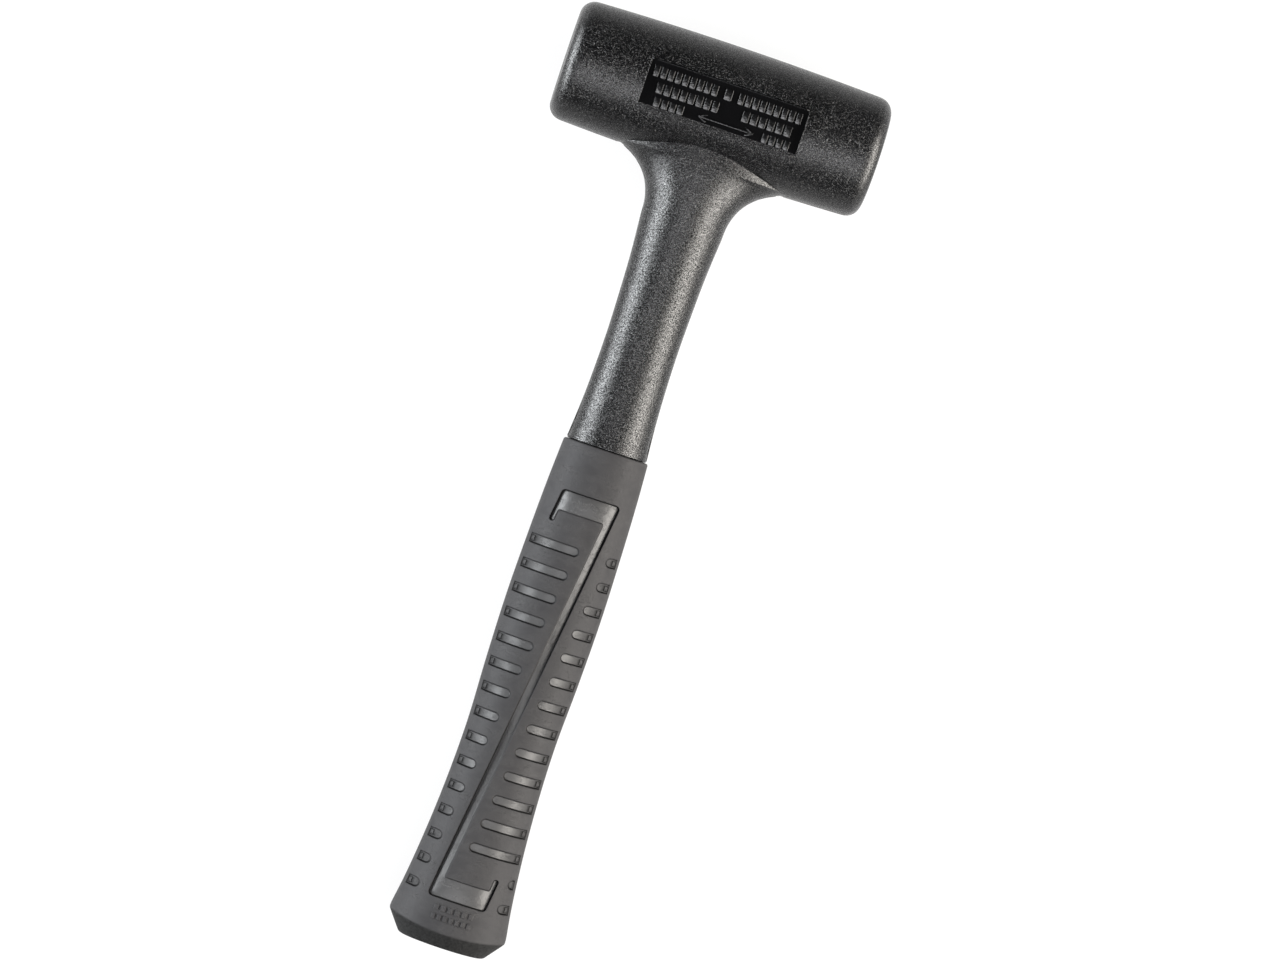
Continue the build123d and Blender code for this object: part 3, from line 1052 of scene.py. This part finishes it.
def marks_material():
    """The same urethane where the tool was engraved: glossy, with a faint texture."""
    material, tree, shader, vector = new_material("urethane_marks")
    grain = noise(tree, vector, 0.7, roughness=0.6)
    dark, light = (0.0007, 0.0007, 0.0008), (0.0016, 0.0016, 0.0018)
    colour = mixed(tree, spread(tree, grain), dark, light, "RGBA")
    connect(tree, shader, colour, spread(tree, grain, 0.16, 0.26), bumped(tree, grain, 0.1))
    shader.inputs["Specular IOR Level"].default_value = 0.4
    return material


RUBBER_DARK = (0.0185, 0.0181, 0.0189)
RUBBER_LIGHT = (0.0262, 0.0257, 0.0262)
GROOVE_COLOUR = (0.0235, 0.0232, 0.0236)
# painted shade: the near-black colour put on the grooves' walls
GROOVE_WALL_SHADE_COLOUR = (0.003, 0.003, 0.003)
BUTT_DARK = (0.007, 0.007, 0.007)
BUTT_LIGHT = (0.016, 0.016, 0.016)
POLISHED_HALF_WIDTH = (8.5, 13.0)  # the grooves' floors turn from polished to dull between these


def grip_material():
    """Soft dark grey rubber: dull, with faint flow marks; smoother on the grooves' floors, with
    painted shade on the grooves' walls.
    """
    material, tree, shader, vector = new_material("grip_rubber")
    sunk = spread(tree, attribute(tree, "groove"), from_low=0.85, from_high=1.0)
    wall = attribute(tree, "wall")
    butt = spread(tree, attribute(tree, "butt"))
    inner, outer = (x * MM for x in POLISHED_HALF_WIDTH)
    near_middle = spread(tree, distance_along(tree, vector, "X"), 1, 0, inner, outer)
    polished = math_node(tree, "MULTIPLY", sunk, near_middle)
    fine = noise(tree, vector, 0.45, roughness=0.6)
    mottle = noise(tree, vector, 7.0, 3.0, 0.55, 0.6, (1.0, 1.6, 1.0))
    speckle = spread(tree, noise(tree, vector, 0.8, roughness=0.6))
    flow = noise(tree, vector, 5.0, distortion=2.5, stretch=(0.7, 2.6, 0.7))
    crease = spread(tree, math_node(tree, "PINGPONG", flow, 0.08), 1, 0, 0.0, 0.012)
    flow_marks = math_node(tree, "MULTIPLY", crease, spread(tree, mottle, 0, 1, 0.45, 0.6))

    colour = mixed(tree, spread(tree, mottle), RUBBER_DARK, RUBBER_LIGHT, "RGBA")
    colour = mixed(tree, sunk, colour, GROOVE_COLOUR, "RGBA")
    # painted shade: the grooves' walls and the foot of each shelf are darkened in the colour
    colour = mixed(tree, wall, colour, GROOVE_WALL_SHADE_COLOUR, "RGBA")
    butt_colour = mixed(tree, speckle, BUTT_DARK, BUTT_LIGHT, "RGBA")
    colour = mixed(tree, butt, colour, butt_colour, "RGBA")
    rough = mixed(tree, polished, spread(tree, fine, 0.5, 0.6), 0.4)
    normal = bumped(tree, fine, 0.035, 0.8)
    normal = bumped(tree, flow_marks, 0.07, normal=normal)
    normal = bumped(tree, mottle, 0.25, 0.5, normal)
    connect(tree, shader, colour, rough, normal)
    dull = math_node(tree, "MAXIMUM", wall, butt)
    gloss = mixed(tree, dull, mixed(tree, polished, 0.06, 0.26), 0.03)
    shader.inputs["Specular IOR Level"].default_value = 0.06
    tree.links.new(gloss, shader.inputs["Specular IOR Level"])
    return material


def steel_material(name, dark, light, roughness, stretch=None):
    """Plain steel with drawing marks along one direction and a little tarnish."""
    material, tree, shader, vector = new_material(name)
    marks = noise(tree, vector, 0.6, 3.0, 0.6, stretch=stretch)
    tarnish = spread(tree, noise(tree, vector, 9.0, 3.0, 0.6))
    rough = spread(tree, marks, roughness - 0.08, roughness + 0.1)
    colour = mixed(tree, tarnish, dark, light, "RGBA")
    connect(tree, shader, colour, rough, bumped(tree, marks, 0.02, 0.6))
    shader.inputs["Metallic"].default_value = 1.0
    return material


def plug_material():
    """Off-white moulded plastic."""
    material, tree, shader, vector = new_material("plug_plastic")
    mottle = noise(tree, vector, 2.5, 3.0, 0.6)
    colour = mixed(tree, spread(tree, mottle), (0.62, 0.61, 0.57), (0.72, 0.71, 0.67), "RGBA")
    rough = spread(tree, mottle, 0.42, 0.55)
    connect(tree, shader, colour, rough, bumped(tree, noise(tree, vector, 0.3), 0.02, 0.6))
    return material


urethane = urethane_material()
rubber = grip_material()
marks = marks_material()
canister = steel_material(
    "canister_steel", (0.42, 0.42, 0.43), (0.56, 0.56, 0.57), 0.34, (0.05, 1, 1)
)
core = steel_material("core_steel", (0.3, 0.3, 0.31), (0.42, 0.42, 0.43), 0.42, (1, 0.05, 1))
node_materials = {
    "urethane_body": urethane,
    "grip_sleeve": rubber,
    "canister_tube": canister,
    "canister_cap_left": canister,
    "canister_cap_right": canister,
    "shot_charge": steel_material("shot_steel", (0.33, 0.32, 0.31), (0.47, 0.46, 0.45), 0.38),
    "core_tube": core,
    "core_saddle": core,
    "core_end_plug": plug_material(),
}
for name, material in node_materials.items():
    nodes[name].data.materials.clear()
    nodes[name].data.materials.append(material)

# ---- pieces
grip = finish_piece(grip_mesh(), "grip_skin", rubber)
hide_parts("grip_sleeve")
finish_piece(panel_marks(), "panel_marks_front", marks)
back_marks = panel_marks()
bmesh.ops.rotate(back_marks, verts=back_marks.verts, matrix=Matrix.Rotation(math.pi, 3, "Y"))
finish_piece(back_marks, "panel_marks_back", marks)
finish_piece(butt_marks(), "butt_marks", rubber)
finish_piece(mould_lines(), "mould_lines", urethane)
finish_piece(panel_rims(), "panel_rims", urethane)

# ---- floor, camera and light
FLOOR_SIZE = 10.0
FLOOR_GLOW = 0.86
FLOOR_SHADE = 0.07  # the floor's own paleness, which carries the shadows near the mallet
FAR_GLOW = 0.22  # the floor's glow away from the mallet, and the backdrop's
GLOW_START = 0.28  # how far from the middle the floor's glow starts to fade
GLOW_END = 0.78
BACKDROP_RADIUS = 4.8
BACKDROP_HEIGHT = 2.0
CAMERA_DISTANCE = 2.25
CAMERA_REACH = 20.0
CAMERA_ROLL = math.radians(18.5)
SENSOR_WIDTH = 36.0
VIEW_WIDTH = 0.432  # what the picture's width takes in, at the mallet
VIEW_CENTRE = (14.0, 127.3)
CAMERA_OVER = (-95.0, 127.3)
WORLD_GLOW = 0.06


def glowing_material(name, near_glow):
    """A pale studio surface whose glow fades with the distance from the mallet."""
    material, tree, shader = plain_material(name)
    shader.inputs["Roughness"].default_value = 0.9
    shader.inputs["Specular IOR Level"].default_value = 0.0
    shader.inputs["Emission Color"].default_value = (1, 1, 1, 1)
    position = new_node(tree, "NewGeometry", {}).outputs["Position"]
    distance = new_node(tree, "VectorMath", {0: position}, operation="LENGTH").outputs["Value"]
    fade = spread(tree, distance, from_low=GLOW_START, from_high=GLOW_END)
    tree.links.new(mixed(tree, fade, near_glow, FAR_GLOW), shader.inputs["Emission Strength"])
    tree.links.new(mixed(tree, fade, FLOOR_SHADE, 0.0), shader.inputs["Base Color"])
    return material


floor_mesh = bmesh.new()
bmesh.ops.create_grid(floor_mesh, x_segments=8, y_segments=8, size=FLOOR_SIZE / 2)
mesh_object(floor_mesh, "floor", glowing_material("floor", FLOOR_GLOW))

backdrop_mesh = bmesh.new()
bmesh.ops.create_circle(backdrop_mesh, segments=96, radius=BACKDROP_RADIUS)
raised = bmesh.ops.extrude_edge_only(backdrop_mesh, edges=backdrop_mesh.edges[:])["geom"]
for part in raised:
    if isinstance(part, bmesh.types.BMVert):
        part.co.z += BACKDROP_HEIGHT
mesh_object(backdrop_mesh, "backdrop", glowing_material("backdrop", FAR_GLOW))


def aimed(location, target, up):
    """A matrix that looks from location at target, with up upwards in the picture."""
    look = (target - location).normalized()
    up = (up - up.dot(look) * look).normalized()
    turn = Matrix((look.cross(up), up, -look)).transposed()
    return Matrix.Translation(location) @ turn.to_4x4()


scene.view_settings.view_transform = "Standard"
camera_data = bpy.data.cameras.new("camera")
camera = new_object("camera", camera_data)
scene.camera = camera
aim = place(*VIEW_CENTRE, 0)
stand = place(*CAMERA_OVER, 0) + Vector((0, 0, CAMERA_DISTANCE))
picture_up = Vector((-math.sin(CAMERA_ROLL), math.cos(CAMERA_ROLL), 0))
camera.matrix_world = aimed(stand, aim, picture_up)
camera_data.sensor_width = SENSOR_WIDTH
camera_data.lens = SENSOR_WIDTH * (aim - stand).length / VIEW_WIDTH
camera_data.clip_end = CAMERA_REACH


def softbox(name, middle, direction, distance, width, length, radiance, colour):
    """A soft rectangular light aimed at a point; direction is (side, down the handle, up)."""
    data = bpy.data.lights.new(name, "AREA")
    data.shape = "RECTANGLE"
    data.size = length
    data.size_y = width
    data.energy = radiance * math.pi * width * length
    data.color = colour
    light = new_object(name, data)
    light.visible_camera = False
    handle = Vector((0, -1, 0))
    offset = direction[0] * SIDE_AXIS + direction[1] * handle + Vector((0, 0, direction[2]))
    stand = middle + offset.normalized() * distance
    across = handle if abs(direction[0]) > abs(direction[1]) else SIDE_AXIS
    light.matrix_world = aimed(stand, middle, across.cross(offset).normalized())


neck_middle, head_middle = place(0, 90, 0), place(0, 0, 0)
softbox("light_left", neck_middle, (-0.966, 0.0, 0.26), 1.0, 0.44, 1.3, 32, (0.95, 0.98, 1.0))
softbox("light_right", neck_middle, (0.917, 0.0, 0.4), 1.0, 0.69, 1.3, 22, (1.0, 0.96, 0.9))
softbox("light_butt", head_middle, (0.0, 0.41, 0.91), 1.6, 0.8, 1.1, 9, (0.98, 0.98, 1.0))

world = bpy.data.worlds.new("world")
scene.world = world
world.use_nodes = True
background = world.node_tree.nodes["Background"]
background.inputs["Color"].default_value = (1, 1, 1, 1)
background.inputs["Strength"].default_value = WORLD_GLOW
